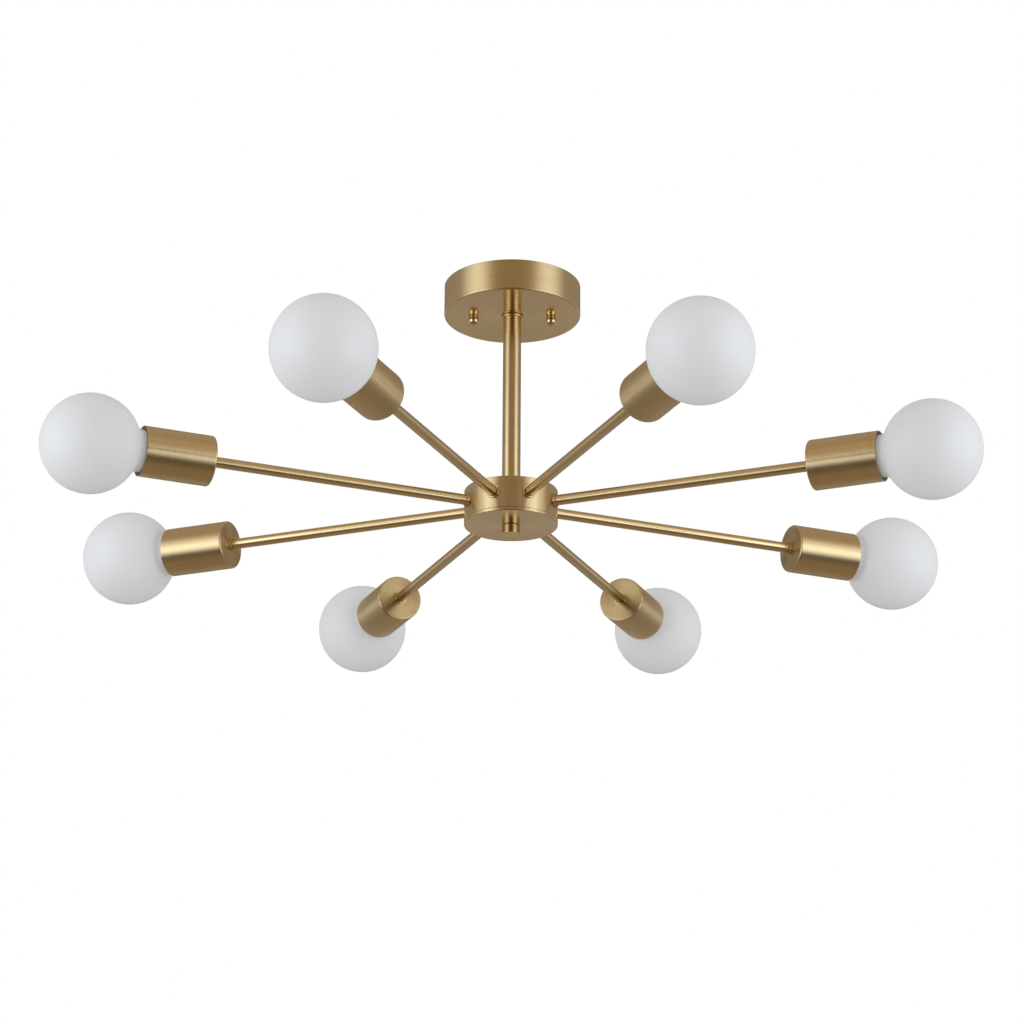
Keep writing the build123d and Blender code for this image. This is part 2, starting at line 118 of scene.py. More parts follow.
TURNED = "turned"  # the map of a turned piece: u round it, v along its outline in metres
HOLD = 0.08 * MM  # how near a straight stretch's end its shading is held flat
SHARP_ANGLE = radians(34)
DRUM_SHARP_ANGLE = radians(20)
FACED = 0.98  # how square to the axis a face stands that counts as a faced end
NOTHING = 1e-7  # a radius that counts as the axis itself
SAME = 1e-6  # how near two radii are that count as one
WARM_LOSS = (0.3, 0.62)  # how much of its green and blue a grey loses when it is warm


# Places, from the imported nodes


def reach(node, direction):
    """The nearest and furthest that a node lies along a direction from the origin."""
    along = [v.co.dot(direction) for v in frame["nodes"][node].data.vertices]
    return min(along), max(along)


def middle(node):
    low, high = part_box(node)
    return (low + high) / 2


def half_width(node, axis=0):
    low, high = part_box(node)
    return (high[axis] - low[axis]) / 2


def arm_directions():
    """The outward direction of each arm by its number, which is its lamp's too."""
    return {
        joint["name"].split("_")[1]: Vector(joint["axis"]).normalized()
        for joint in frame["joints"]
        if joint["type"] == "slide"
    }


ARMS = arm_directions()
FIRST = min(ARMS)
OUT = ARMS[FIRST]
ARM_Z = middle(f"socket_cup_{FIRST}").z
HUB_COLLAR_R = half_width("hub_arm_collars", 2)
HUB_MIDDLE_Z = (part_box("hub_body")[1].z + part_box("hub_cover")[0].z) / 2

# The places along an arm that its pieces share, from the hub's axis outwards
HUB_SEAT = reach("hub_arm_collars", OUT)[1] - HUB_COLLAR_T
CUP_BACK, CUP_MOUTH = reach(f"socket_cup_{FIRST}", OUT)
TUBE_START, TUBE_END = reach(f"arm_tube_{FIRST}", OUT)
TUBE_R = half_width(f"arm_tube_{FIRST}", 2)


def lamp_thread_pitch():
    """How far a lamp moves out in one turn."""
    coupling = frame["record"]["behaviour"]["couplings"][0]
    return coupling["ratio"] * tau


def on_arm(direction):
    """From an arm's own frame, with the arm along X, to the row frame."""
    turn = Matrix.Rotation(atan2(direction.y, direction.x), 4, "Z")
    return Matrix.Translation((0, 0, ARM_Z)) @ turn


def upright(x=0.0):
    """From a turned piece's own frame, with its axis along X, to a vertical axis."""
    return Matrix.Translation((x, 0, 0)) @ Matrix.Rotation(-pi / 2, 4, "Y")


# Outlines: lists of (station along the axis, radius)


def arc(centre, radius, start, end, steps=10):
    """Points on a round stretch, with the angles in radians from the axis."""
    return [
        (
            centre[0] + radius * cos(start + (end - start) * i / steps),
            centre[1] + radius * sin(start + (end - start) * i / steps),
        )
        for i in range(steps + 1)
    ]


def round_corner(before, corner, after, radius, steps):
    """The arc that replaces a corner and is tangent to both its sides."""
    a = (Vector(before) - Vector(corner)).normalized()
    b = (Vector(after) - Vector(corner)).normalized()
    half = acos(max(-1, min(1, a.dot(b)))) / 2
    centre = Vector(corner) + (a + b).normalized() * (radius / sin(half))
    first = Vector(corner) + a * (radius * cos(half) / sin(half)) - centre
    last = Vector(corner) + b * (radius * cos(half) / sin(half)) - centre
    start = atan2(first.y, first.x)
    sweep = (atan2(last.y, last.x) - start + pi) % tau - pi
    return arc(centre, radius, start, start + sweep, steps)


def outline(points, rounded=None, steps=8):
    """The points with the numbered corners rounded, each by its own radius."""
    rounded = rounded or {}
    made = []
    for i, corner in enumerate(points):
        if i in rounded:
            before, after = points[i - 1], points[(i + 1) % len(points)]
            made += round_corner(before, corner, after, rounded[i], steps)
        else:
            made.append(tuple(corner))
    return made


def held(points, closed, longest):
    """The outline with points near the ends of long straights, and long ones divided."""
    made = []
    count = len(points) if closed else len(points) - 1
    for i in range(count):
        start, end = Vector(points[i]), Vector(points[(i + 1) % len(points)])
        run = (end - start).length
        made.append(tuple(start))
        if run > 6 * HOLD:
            parts = max(1, ceil((run - 2 * HOLD) / longest))
            inner = [HOLD + (run - 2 * HOLD) * k / parts for k in range(parts + 1)]
            made += [tuple(start.lerp(end, d / run)) for d in inner]
    if not closed:
        made.append(tuple(points[-1]))
    return made


# Meshes


def turned_mesh(name, points, closed=True, segments=128, ripple=None, longest=0.02, shift=0.0):
    """A piece turned round the X axis, with its map.

    ripple(station, radius, angle) gives a threaded radius. shift starts the map's v
    elsewhere, so that no two pieces show the same streaks.
    """
    rows = held(points, closed, longest)
    verts, starts = [], []
    for station, radius in rows:
        starts.append(len(verts))
        if radius < NOTHING:
            verts.append((station, 0, 0))
            continue
        for i in range(segments):
            angle = tau * i / segments
            r = ripple(station, radius, angle) if ripple else radius
            verts.append((station, r * cos(angle), r * sin(angle)))

    def corner(row, i):
        return starts[row] + (0 if rows[row][1] < NOTHING else i % segments)

    faces, maps = [], []
    v = shift
    for a in range(len(rows) if closed else len(rows) - 1):
        b = (a + 1) % len(rows)
        step = (Vector(rows[b]) - Vector(rows[a])).length
        for i in range(segments):
            ring = [corner(a, i), corner(b, i), corner(b, i + 1), corner(a, i + 1)]
            spots = [(i, v), (i, v + step), (i + 1, v + step), (i + 1, v)]
            kept = [k for k in range(4) if ring[k] != ring[k - 1]]
            if len(kept) > 2:
                faces.append([ring[k] for k in kept])
                maps.append([(spots[k][0] / segments, spots[k][1]) for k in kept])
        v += step
    mesh = bpy.data.meshes.new(name)
    mesh.from_pydata(verts, [], faces)
    layer = mesh.uv_layers.new(name=TURNED)
    layer.data.foreach_set("uv", [x for face in maps for spot in face for x in spot])
    outward(mesh)
    return mesh


def outward(mesh):
    """Faces the mesh outward and shades it smooth, with its true corners kept sharp."""
    work = bmesh.new()
    work.from_mesh(mesh)
    bmesh.ops.recalc_face_normals(work, faces=work.faces)
    work.to_mesh(mesh)
    work.free()
    mesh.shade_smooth()
    mesh.set_sharp_from_angle(angle=SHARP_ANGLE)
    mesh.update()


def piece(name, mesh, place, material, body, replaced=()):
    """A finished piece in its place, on its body."""
    mesh.transform(place)
    if not mesh.materials:
        mesh.materials.append(material)
    made = bpy.data.objects.new(name, mesh)
    bpy.context.scene.collection.objects.link(made)
    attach(made, body)
    if replaced:
        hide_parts(*replaced)
    return made


def brass_piece(name, mesh, place, material, node):
    """A piece of the fixture in one of its brasses, in place of a CAD node."""
    piece(name, mesh, place, material, "fixture", [node])


def with_faced_ends(mesh, wall, ends):
    """Gives the flats square to a turned piece's axis a brass of their own."""
    mesh.materials.append(wall)
    mesh.materials.append(ends)
    for face in mesh.polygons:
        face.material_index = int(abs(face.normal.x) > FACED)
    return mesh


def thread(pitch, depth, start, end):
    """A rolled screw thread between two stations, right-handed, faded out at its ends."""

    def ripple(station, radius, angle):
        runs_in = min(1, max(0, (station - start) / pitch), max(0, (end - station) / pitch))
        wave = (1 - cos(tau * (station / pitch - angle / tau))) / 2
        return radius - depth * wave * runs_in

    return ripple


# Materials


def new_material(name):
    material = bpy.data.materials.new(name)
    material.use_nodes = True
    tree = material.node_tree
    return material, tree, tree.nodes["Principled BSDF"]


def add(tree, kind, inputs=None, **settings):
    """A node with its settings and its inputs, each a value or another node's socket."""
    node = tree.nodes.new(kind)
    for key, value in settings.items():
        setattr(node, key, value)
    for key, value in (inputs or {}).items():
        if isinstance(value, bpy.types.NodeSocket):
            tree.links.new(value, node.inputs[key])
        else:
            node.inputs[key].default_value = value
    return node


def math(tree, operation, first, second=0.0):
    inputs = {0: first, 1: second}
    return add(tree, "ShaderNodeMath", inputs, operation=operation).outputs[0]


def ranged(tree, value, low, high, start=0.0, end=1.0, **settings):
    """The value, from start to end, brought to low to high."""
    inputs = {"Value": value, "From Min": start, "From Max": end, "To Min": low, "To Max": high}
    return add(tree, "ShaderNodeMapRange", inputs, **settings).outputs["Result"]


def mixed(tree, share, first, second):
    """Two colours mixed."""
    inputs = {0: share, 6: first, 7: second}
    return add(tree, "ShaderNodeMix", inputs, data_type="RGBA").outputs[2]


def ramp(tree, value, stops):
    """Warm greys along a value, each stop a height from -1 to 1, a grey and a warmth."""
    node = add(tree, "ShaderNodeValToRGB", {"Fac": value})
    elements = node.color_ramp.elements
    while len(elements) < len(stops):
        elements.new(0.5)
    for element, (height, grey, warmth) in zip(elements, stops):
        element.position = (height + 1) / 2
        green, blue = (1 - loss * warmth for loss in WARM_LOSS)
        element.color = colour(grey, grey * green, grey * blue)
    return node.outputs["Color"]


def noise(tree, vector, scale, detail=3.0, roughness=0.55):
    inputs = {"Vector": vector, "Scale": scale, "Detail": detail, "Roughness": roughness}
    return add(tree, "ShaderNodeTexNoise", inputs).outputs["Fac"]


def colour(r, g, b):
    return (r, g, b, 1.0)


def round_streaks(tree, lap, fineness):
    """Where a point is for noise drawn out round a turned piece, with no seam."""
    uv = add(tree, "ShaderNodeUVMap", uv_map=TURNED).outputs["UV"]
    parts = add(tree, "ShaderNodeSeparateXYZ", {"Vector": uv})
    angle = math(tree, "MULTIPLY", parts.outputs["X"], tau)
    across = math(tree, "MULTIPLY", math(tree, "COSINE", angle), lap)
    up = math(tree, "MULTIPLY", math(tree, "SINE", angle), lap)
    along = math(tree, "MULTIPLY", parts.outputs["Y"], fineness)
    return add(tree, "ShaderNodeCombineXYZ", {"X": across, "Y": up, "Z": along}).outputs[0]


def own_place(tree):
    return add(tree, "ShaderNodeTexCoord").outputs["Object"]


def weighed(tree, first, *others):
    """The sum of values, each given with its weight."""
    total = math(tree, "MULTIPLY", *first)
    for value, weight in others:
        total = math(tree, "ADD", total, math(tree, "MULTIPLY", value, weight))
    return total


def surface(tree, shader, base, rough, height, strength, depth):
    """What every material has: a colour and a roughness that vary, and a fine relief."""
    inputs = {"Strength": strength, "Distance": depth, "Height": height}
    relief = add(tree, "ShaderNodeBump", inputs)
    tree.links.new(base, shader.inputs["Base Color"])
    tree.links.new(rough, shader.inputs["Roughness"])
    tree.links.new(relief.outputs["Normal"], shader.inputs["Normal"])


BRASS = colour(0.80, 0.605, 0.335)
BRASS_DEEP = colour(0.66, 0.49, 0.26)
# Darker copies of the brass for the cups' back faces: painted shade that dims what these faces reflect
BRASS_PAINTED_SHADE = colour(0.72, 0.535, 0.28)
BRASS_PAINTED_DEEP_SHADE = colour(0.46, 0.325, 0.155)
SATIN_DEPTH = 0.04 * MM
GRAIN_DEPTH = 0.03 * MM
ACROSS_STREAKS = 0.25  # a quarter turn, so that the gloss is drawn out across the streaks


def satin_brass(name, lap, fineness, anisotropy, roughness, relief, tones=(BRASS, BRASS_DEEP)):
    """Brass brushed round the piece: fine streaks in colour, gloss and height.

    A larger lap makes the streaks shorter, a larger fineness lays them closer together.
    """
    material, tree, shader = new_material(name)
    fine = noise(tree, round_streaks(tree, lap, fineness), 1.0, 4.0, 0.7)
    broad = noise(tree, round_streaks(tree, lap / 2, fineness / 9), 1.0, 2.0)
    cloud = noise(tree, own_place(tree), 28.0, 3.0)
    shade = weighed(tree, (fine, 0.6), (broad, 0.4), (cloud, 0.35))
    base = mixed(tree, ranged(tree, shade, 1.0, 0.0, 0.42, 0.92), *tones)
    rough = ranged(tree, shade, *roughness, 0.4, 0.95)
    surface(tree, shader, base, rough, fine, relief, SATIN_DEPTH)
    tangent = add(tree, "ShaderNodeTangent", direction_type="UV_MAP", uv_map=TURNED)
    tree.links.new(tangent.outputs["Tangent"], shader.inputs["Tangent"])
    shader.inputs["Metallic"].default_value = 1.0
    shader.inputs["Anisotropic"].default_value = anisotropy
    shader.inputs["Anisotropic Rotation"].default_value = ACROSS_STREAKS
    return material


def plated_metal(name, tones, scale, roughness):
    """Metal with a clouded, slightly grained finish."""
    material, tree, shader = new_material(name)
    place = own_place(tree)
    cloud = noise(tree, place, scale, 4.0)
    grain = noise(tree, place, scale * 14, 2.0)
    base = mixed(tree, ranged(tree, cloud, 0.0, 1.0, 0.35, 0.65), *tones)
    rough = ranged(tree, cloud, *roughness, 0.3, 0.7)
    surface(tree, shader, base, rough, grain, 0.15, GRAIN_DEPTH)
    shader.inputs["Metallic"].default_value = 1.0
    return material


def moulded(name, tones, scale, roughness, coat):
    """Moulded plastic or painted metal with a faint mottle and skin."""
    material, tree, shader = new_material(name)
    place = own_place(tree)
    mottle = noise(tree, place, scale, 3.0)
    skin = noise(tree, place, scale * 9, 2.0)
    base = mixed(tree, ranged(tree, mottle, 0.0, 1.0, 0.3, 0.7), *tones)
    rough = ranged(tree, skin, roughness * 0.85, roughness * 1.15, 0.3, 0.7)
    surface(tree, shader, base, rough, skin, 0.2, GRAIN_DEPTH)
    shader.inputs["Coat Weight"].default_value = coat
    shader.inputs["Coat Roughness"].default_value = 0.15
    return material


def opal_glass():
    """White opal glass, satin outside: dense white with a faint cloud and a soft gloss."""
    material, tree, shader = new_material("opal_glass")
    place = own_place(tree)
    cloud = noise(tree, place, 18.0, 2.0)
    satin = noise(tree, place, 900.0, 2.0)
    share = ranged(tree, cloud, 0.0, 1.0, 0.3, 0.7)
    base = mixed(tree, share, colour(0.87, 0.865, 0.86), colour(0.84, 0.833, 0.825))
    rough = ranged(tree, cloud, 0.48, 0.54, 0.3, 0.7)
    surface(tree, shader, base, rough, satin, 0.06, SATIN_DEPTH)
    shader.inputs["IOR"].default_value = 1.42
    return material


SPUN_BRASS = satin_brass(
    "satin_brass_spun",
    lap=3.0,
    fineness=3200,
    anisotropy=0.92,
    roughness=(0.29, 0.35),
    relief=0.10,
)
# The cups' back faces: brass in darker tones, a painted shade that keeps these faces dimmer than the lights make
# them
CUP_BACK_PAINTED_SHADE_BRASS = satin_brass(
    "satin_brass_turned_painted_shade",
    lap=2.0,
    fineness=1300,
    anisotropy=0.94,
    roughness=(0.28, 0.42),
    relief=0.3,
    tones=(BRASS_PAINTED_SHADE, BRASS_PAINTED_DEEP_SHADE),
)
FACED_BRASS = satin_brass(
    "satin_brass_faced",
    lap=3.0,
    fineness=2600,
    anisotropy=0.7,
    roughness=(0.17, 0.21),
    relief=0.06,
)
DRAWN_BRASS = satin_brass(
    "satin_brass_drawn",
    lap=2.5,
    fineness=60,
    anisotropy=0.75,
    roughness=(0.22, 0.25),
    relief=0.008,
)
POLISHED_BRASS = satin_brass(
    "satin_brass_polished",
    lap=4.0,
    fineness=900,
    anisotropy=0.3,
    roughness=(0.17, 0.21),
    relief=0.01,
)
ZINC = plated_metal(
    "zinc_plated_steel",
    tones=(colour(0.62, 0.64, 0.66), colour(0.47, 0.49, 0.52)),
    scale=160,
    roughness=(0.3, 0.45),
)
CAP_METAL = plated_metal(
    "nickel_cap",
    tones=(colour(0.72, 0.71, 0.69), colour(0.62, 0.61, 0.59)),
    scale=90,
    roughness=(0.2, 0.3),
)
CONTACT = plated_metal(
    "contact_brass",
    tones=(colour(0.75, 0.58, 0.30), colour(0.62, 0.45, 0.21)),
    scale=120,
    roughness=(0.25, 0.35),
)
GREEN = moulded(
    "ground_green",
    tones=(colour(0.05, 0.30, 0.10), colour(0.03, 0.22, 0.07)),
    scale=260,
    roughness=0.4,
    coat=0.3,
)
PHENOLIC = moulded(
    "black_phenolic",
    tones=(colour(0.020, 0.019, 0.018), colour(0.012, 0.012, 0.012)),
    scale=300,
    roughness=0.35,
    coat=0.2,
)
INSULATOR = moulded(
    "black_glass",
    tones=(colour(0.016, 0.014, 0.020), colour(0.010, 0.009, 0.014)),
    scale=200,
    roughness=0.15,
    coat=0.4,
)
OPAL = opal_glass()

SLOT_MATERIALS = {
    "satin_brass": SPUN_BRASS,
    "zinc_steel": ZINC,
    "ground_green": GREEN,
    "opal_glass": OPAL,
    "lamp_cap": CAP_METAL,
    "contact_brass": CONTACT,
    "phenolic": PHENOLIC,
    "insulator": INSULATOR,
}


def dress_nodes():
    """Every CAD node that stays gets the material of its slot."""
    for node in frame["nodes"].values():
        for place in node.material_slots:
            name = place.material.name.split(".")[0] if place.material else ""
            if name in SLOT_MATERIALS:
                place.material = SLOT_MATERIALS[name]


# Ceiling end


def make_canopy():
    low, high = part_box("canopy")
    rim_r = half_width("canopy")
    hole_r = STEM_SPIGOT_R + SLIP_GAP
    floor_z = low.z + CANOPY_WALL
    points = outline(
        [
            (low.z, hole_r),
            (low.z, rim_r),
            (high.z, rim_r),
            (high.z, rim_r - CANOPY_WALL),
            (floor_z, rim_r - CANOPY_WALL),
            (floor_z, hole_r),
        ],
        {1: CANOPY_EDGE_R, 2: RIM_R, 3: RIM_R, 4: RIM_R},
    )
    mesh = turned_mesh("canopy_spun", points, segments=256, longest=0.008)
    with_faced_ends(mesh, SPUN_BRASS, FACED_BRASS)
    brass_piece("canopy_spun", mesh, upright(), SPUN_BRASS, "canopy")


def make_ball_nuts():
    low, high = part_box("ball_cap_nuts")
    spread = high.x - BALL_R
    ball_z = low.z + BALL_R
    shoulder = acos(BALL_NECK_R / BALL_R)
    ball = arc((ball_z, 0), BALL_R, pi, pi / 2 - shoulder, 24)
    seat = round_corner(ball[-1], (high.z, BALL_NECK_R), (high.z, 0), SEAT_EDGE, 8)
    points = ball + seat + [(high.z, 0)]
    for number, x in enumerate((-spread, spread), start=1):
        name = f"ball_nut_{number}"
        mesh = turned_mesh(name, points, closed=False, segments=64, shift=number)
        brass_piece(name, mesh, upright(x), POLISHED_BRASS, "ball_cap_nuts")


def make_stem():
    low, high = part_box("stem")
    canopy_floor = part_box("canopy")[0].z
    hub_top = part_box("hub_body")[1].z
    tube_r = half_width("stem")
    run = high.z - 2 * RIM_R - canopy_floor
    rows = ceil(run / (SPIGOT_PITCH / 8))
    tube = [
        (low.z, STEM_BORE_R),
        (low.z, STEM_SPIGOT_R),
        (hub_top, STEM_SPIGOT_R),
        (hub_top, tube_r),
        (canopy_floor, tube_r),
    ]
    spigot = [(canopy_floor + run * i / rows, STEM_SPIGOT_R) for i in range(rows + 1)]
    end = outline(
        [spigot[-1], (high.z, STEM_SPIGOT_R), (high.z, STEM_BORE_R), tube[0]],
        {1: RIM_R, 2: RIM_R},
    )
    points = tube + spigot + end[1:-1]
    threaded = thread(SPIGOT_PITCH, SPIGOT_THREAD_DEPTH, canopy_floor + CANOPY_WALL, high.z)

    def ripple(station, radius, angle):
        on_spigot = abs(radius - STEM_SPIGOT_R) < SAME and station > canopy_floor
        return threaded(station, radius, angle) if on_spigot else radius

    mesh = turned_mesh("stem_tube", points, segments=128, ripple=ripple, longest=0.01)
    brass_piece("stem_tube", mesh, upright(), DRAWN_BRASS, "stem")


def make_stem_collar():
    low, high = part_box("stem_collar")
    outer_r = half_width("stem_collar")
    inner_r = half_width("stem") + SLIP_GAP
    edge = (outer_r - inner_r) / 2
    points = outline(
        [(low.z, inner_r), (low.z, outer_r), (high.z, outer_r), (high.z, inner_r)],
        {1: edge, 2: edge},
    )
    mesh = turned_mesh("stem_collar_ring", points, segments=128, shift=2)
    brass_piece("stem_collar_ring", mesh, upright(), POLISHED_BRASS, "stem_collar")


# Hub


def spot_faced(mesh):
    """Cuts the flat seats that the arms' collars stand on into the hub's wall."""
    seat_r = HUB_COLLAR_R + SPOT_MARGIN
    cutters = bmesh.new()
    for direction in ARMS.values():
        place = on_arm(direction) @ Matrix.Translation((HUB_SEAT + CUTTER_H / 2, 0, 0))
        bmesh.ops.create_cone(
            cutters,
            cap_ends=True,
            segments=64,
            radius1=seat_r,
            radius2=seat_r,
            depth=CUTTER_H,
            matrix=place @ Matrix.Rotation(pi / 2, 4, "Y"),
        )
    cutter_mesh = bpy.data.meshes.new("seat_cutters")
    cutters.to_mesh(cutter_mesh)
    cutters.free()
    cutter = bpy.data.objects.new("seat_cutters", cutter_mesh)
    drum = bpy.data.objects.new("drum", mesh)
    for made in (cutter, drum):
        bpy.context.scene.collection.objects.link(made)
    cut = drum.modifiers.new("seats", "BOOLEAN")
    cut.object = cutter
    cut.operation = "DIFFERENCE"
    cut.solver = "EXACT"
    bpy.context.view_layer.update()
    cut_drum = drum.evaluated_get(bpy.context.evaluated_depsgraph_get())
    result = bpy.data.meshes.new_from_object(cut_drum)
    bpy.data.objects.remove(drum)
    bpy.data.objects.remove(cutter)
    result.name = "hub_drum"
    result.shade_smooth()
    result.set_sharp_from_angle(angle=DRUM_SHARP_ANGLE)
    return result


SEAM_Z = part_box("hub_body")[0].z
HUB_R = half_width("hub_body")
HUB_BORE_R = HUB_R - HUB_WALL


def make_hub_drum():
    top_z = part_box("hub_body")[1].z
    inside_z = top_z - HUB_TOP_T
    hole_r = STEM_SPIGOT_R + SLIP_GAP
    points = outline(
        [
            (top_z, hole_r),
            (top_z, HUB_R),
            (SEAM_Z + SEAM_CHAMFER, HUB_R),
            (SEAM_Z, HUB_R - SEAM_CHAMFER),
            (SEAM_Z, HUB_BORE_R),
            (inside_z, HUB_BORE_R),
            (inside_z, hole_r),
        ],
        {1: HUB_EDGE_R},
    )
    mesh = turned_mesh("hub_drum_blank", points, segments=256, longest=0.006, shift=3)
    mesh.transform(upright())
    drum = spot_faced(mesh)
    brass_piece("hub_drum", drum, Matrix.Identity(4), SPUN_BRASS, "hub_body")


def make_hub_cover():
    """The disc under the drum, with the groove of the seam and a lip inside the drum."""
    face_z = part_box("hub_cover")[0].z
    groove_z = SEAM_Z - SEAM_GROOVE_H
    lip_z = SEAM_Z + COVER_LIP_H
    screw_r = FINIAL_SHANK_R + SLIP_GAP
    lip_r = HUB_BORE_R - SLIP_GAP
    points = outline(
        [
            (face_z, screw_r),
            (face_z, HUB_R),
            (groove_z, HUB_R),
            (groove_z, HUB_R - SEAM_GROOVE_DEPTH),
            (SEAM_Z, HUB_R - SEAM_GROOVE_DEPTH),
            (SEAM_Z, lip_r),
            (lip_z, lip_r),
            (lip_z, lip_r - COVER_LIP_T),
            (SEAM_Z, lip_r - COVER_LIP_T),
            (SEAM_Z, screw_r),
        ],
        {1: HUB_EDGE_R},
    )
    mesh = turned_mesh("hub_cover_disc", points, segments=256, longest=0.006, shift=4)
    with_faced_ends(mesh, SPUN_BRASS, FACED_BRASS)
    brass_piece("hub_cover_disc", mesh, upright(), SPUN_BRASS, "hub_cover")


def make_finial():
    low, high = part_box("finial")
    seat_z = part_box("hub_cover")[0].z
    head_r = half_width("finial")
    points = outline(
        [
            (low.z, 0),
            (low.z, head_r),
            (seat_z, head_r),
            (seat_z, FINIAL_SHANK_R),
            (high.z, FINIAL_SHANK_R),
            (high.z, 0),
        ],
        {1: FINIAL_EDGE, 2: SEAT_EDGE},
    )
    mesh = turned_mesh("finial_knob", points, closed=False, segments=128, shift=5)
    brass_piece("finial_knob", mesh, upright(), POLISHED_BRASS, "finial")


# Arms


def make_arm_tube(number, place):
    points = [
        (TUBE_START, ARM_BORE_R),
        (TUBE_START, ARM_SPIGOT_R),
        (HUB_SEAT, ARM_SPIGOT_R),
        (HUB_SEAT, TUBE_R),
        (CUP_BACK, TUBE_R),
        (CUP_BACK, ARM_SPIGOT_R),
        (TUBE_END, ARM_SPIGOT_R),
        (TUBE_END, ARM_BORE_R),
    ]
    name = f"arm_{number}_tube"
    mesh = turned_mesh(name, points, segments=64, longest=0.03, shift=10 + int(number))
    brass_piece(name, mesh, place, DRAWN_BRASS, f"arm_tube_{number}")


# The rings at an arm's ends: start, end, radius, the corner that is rounded, CAD node
COLLARS = {
    "hub_collar": (HUB_SEAT, HUB_SEAT + HUB_COLLAR_T, HUB_COLLAR_R, 2, "hub_arm_collars"),
    "cup_collar": (CUP_BACK - CUP_COLLAR_T, CUP_BACK, CUP_COLLAR_R, 1, "cup_arm_collars"),
}


def make_collars(number, place):
    inner_r = TUBE_R + COLLAR_GAP
    for end_name, (start, end, outer_r, rounded, node) in COLLARS.items():
        corners = [(start, inner_r), (start, outer_r), (end, outer_r), (end, inner_r)]
        name = f"arm_{number}_{end_name}"
        points = outline(corners, {rounded: COLLAR_EDGE})
        mesh = turned_mesh(name, points, segments=96, shift=20 + int(number))
        brass_piece(name, mesh, place, POLISHED_BRASS, node)


def make_cup(number, place):
    outer_r = half_width(f"socket_cup_{number}", 2)
    inner_r = outer_r - CUP_WALL
    hole_r = ARM_SPIGOT_R + SLIP_GAP
    inside = CUP_BACK + CUP_WALL
    points = outline(
        [
            (CUP_BACK, hole_r),
            (CUP_BACK, outer_r),
            (CUP_MOUTH, outer_r),
            (CUP_MOUTH, inner_r),
            (inside, inner_r),
            (inside, hole_r),
        ],
        {1: CUP_EDGE_R, 2: CUP_RIM_R, 3: CUP_RIM_R},
    )
    name = f"cup_{number}_spun"
    mesh = turned_mesh(name, points, segments=192, longest=0.01, shift=30 + int(number))
    # The back face takes the darker brass, a painted shade
    with_faced_ends(mesh, SPUN_BRASS, CUP_BACK_PAINTED_SHADE_BRASS)
    brass_piece(name, mesh, place, SPUN_BRASS, f"socket_cup_{number}")


# Lampholders and lamps


def make_shell(number, place):
    """The lampholder's threaded brass shell."""
    front = reach("screw_shells", OUT)[1]
    back = reach("centre_contacts", OUT)[1] - CONTACT_RISE
    inner_r = half_width(f"bulb_cap_{number}", 2) + LAMP_GAP
    outer_r = inner_r + SHELL_T
    pitch = lamp_thread_pitch()
    points = [
        (back, SHELL_BACK_R),
        (back, outer_r),
        (front, outer_r),
        (front, inner_r),
        (back + SHELL_T, inner_r),
        (back + SHELL_T, SHELL_BACK_R),
    ]
    threaded = thread(pitch, LAMP_THREAD_DEPTH, back + SHELL_T, front)

    def ripple(station, radius, angle):
        return threaded(station, radius, angle) if abs(radius - inner_r) < SAME else radius

    name = f"shell_{number}_threaded"
    mesh = turned_mesh(name, points, segments=72, ripple=ripple, longest=pitch / 8, shift=40)
    piece(name, mesh, place, CONTACT, "fixture", ["screw_shells"])


def glass_line(inset, start, crown):
    """The globe, the blend to its neck, the neck and its taper, from the crown inwards."""
    globe_r = half_width(f"bulb_globe_{FIRST}", 2)
    centre = crown - globe_r
    blend_r = NECK_BLEND_R + inset
    blend_y = NECK_R - inset + blend_r
    reach_x = sqrt((globe_r - inset + blend_r) ** 2 - blend_y**2)
    tilt = atan2(blend_y, reach_x)
    globe = arc((centre, 0), globe_r - inset, 0, pi - tilt, 64)
    blend = arc((centre - reach_x, blend_y), blend_r, -tilt, -pi / 2, 12)
    return globe + blend[1:] + [(start + NECK_TAPER, NECK_R - inset)]


def make_globe(number, place, body):
    node = f"bulb_globe_{number}"
    stub_start, crown = reach(node, ARMS[number])
    cap_r = half_width(f"bulb_cap_{number}", 2)
    cap_end = reach(f"bulb_cap_{number}", ARMS[number])[1]
    stub_r = cap_r - CAP_T - SLIP_GAP
    inner_r = cap_r - GLASS_T
    outside = glass_line(0, cap_end, crown) + [(cap_end, cap_r), (cap_end, stub_r)]
    inside = glass_line(GLASS_T, cap_end, crown) + [(cap_end, inner_r)]
    points = outside + [(stub_start, stub_r), (stub_start, inner_r)] + inside[::-1]
    name = f"lamp_{number}_globe"
    mesh = turned_mesh(name, points, closed=False, segments=160, shift=50)
    piece(name, mesh, place, OPAL, body, [node])


def make_cap(number, place, body):
    """The lamp's rolled screw cap."""
    node = f"bulb_cap_{number}"
    start, end = reach(node, ARMS[number])
    cap_r = half_width(node, 2)
    pitch = lamp_thread_pitch()
    shoulder = start + CAP_SHOULDER
    points = outline(
        [
            (start, CAP_BACK_R),
            (shoulder, cap_r),
            (end, cap_r),
            (end, cap_r - CAP_T),
            (shoulder + CAP_T / 2, cap_r - CAP_T),
            (start + CAP_T, CAP_BACK_R),
        ],
        {1: CAP_SHOULDER_EDGE, 2: CAP_LIP_EDGE},
    )
    threaded = thread(pitch, LAMP_THREAD_DEPTH, shoulder, end - CAP_SKIRT)
    name = f"lamp_{number}_cap"
    mesh = turned_mesh(name, points, segments=96, ripple=threaded, longest=pitch / 12, shift=60)
    piece(name, mesh, place, CAP_METAL, body, [node])


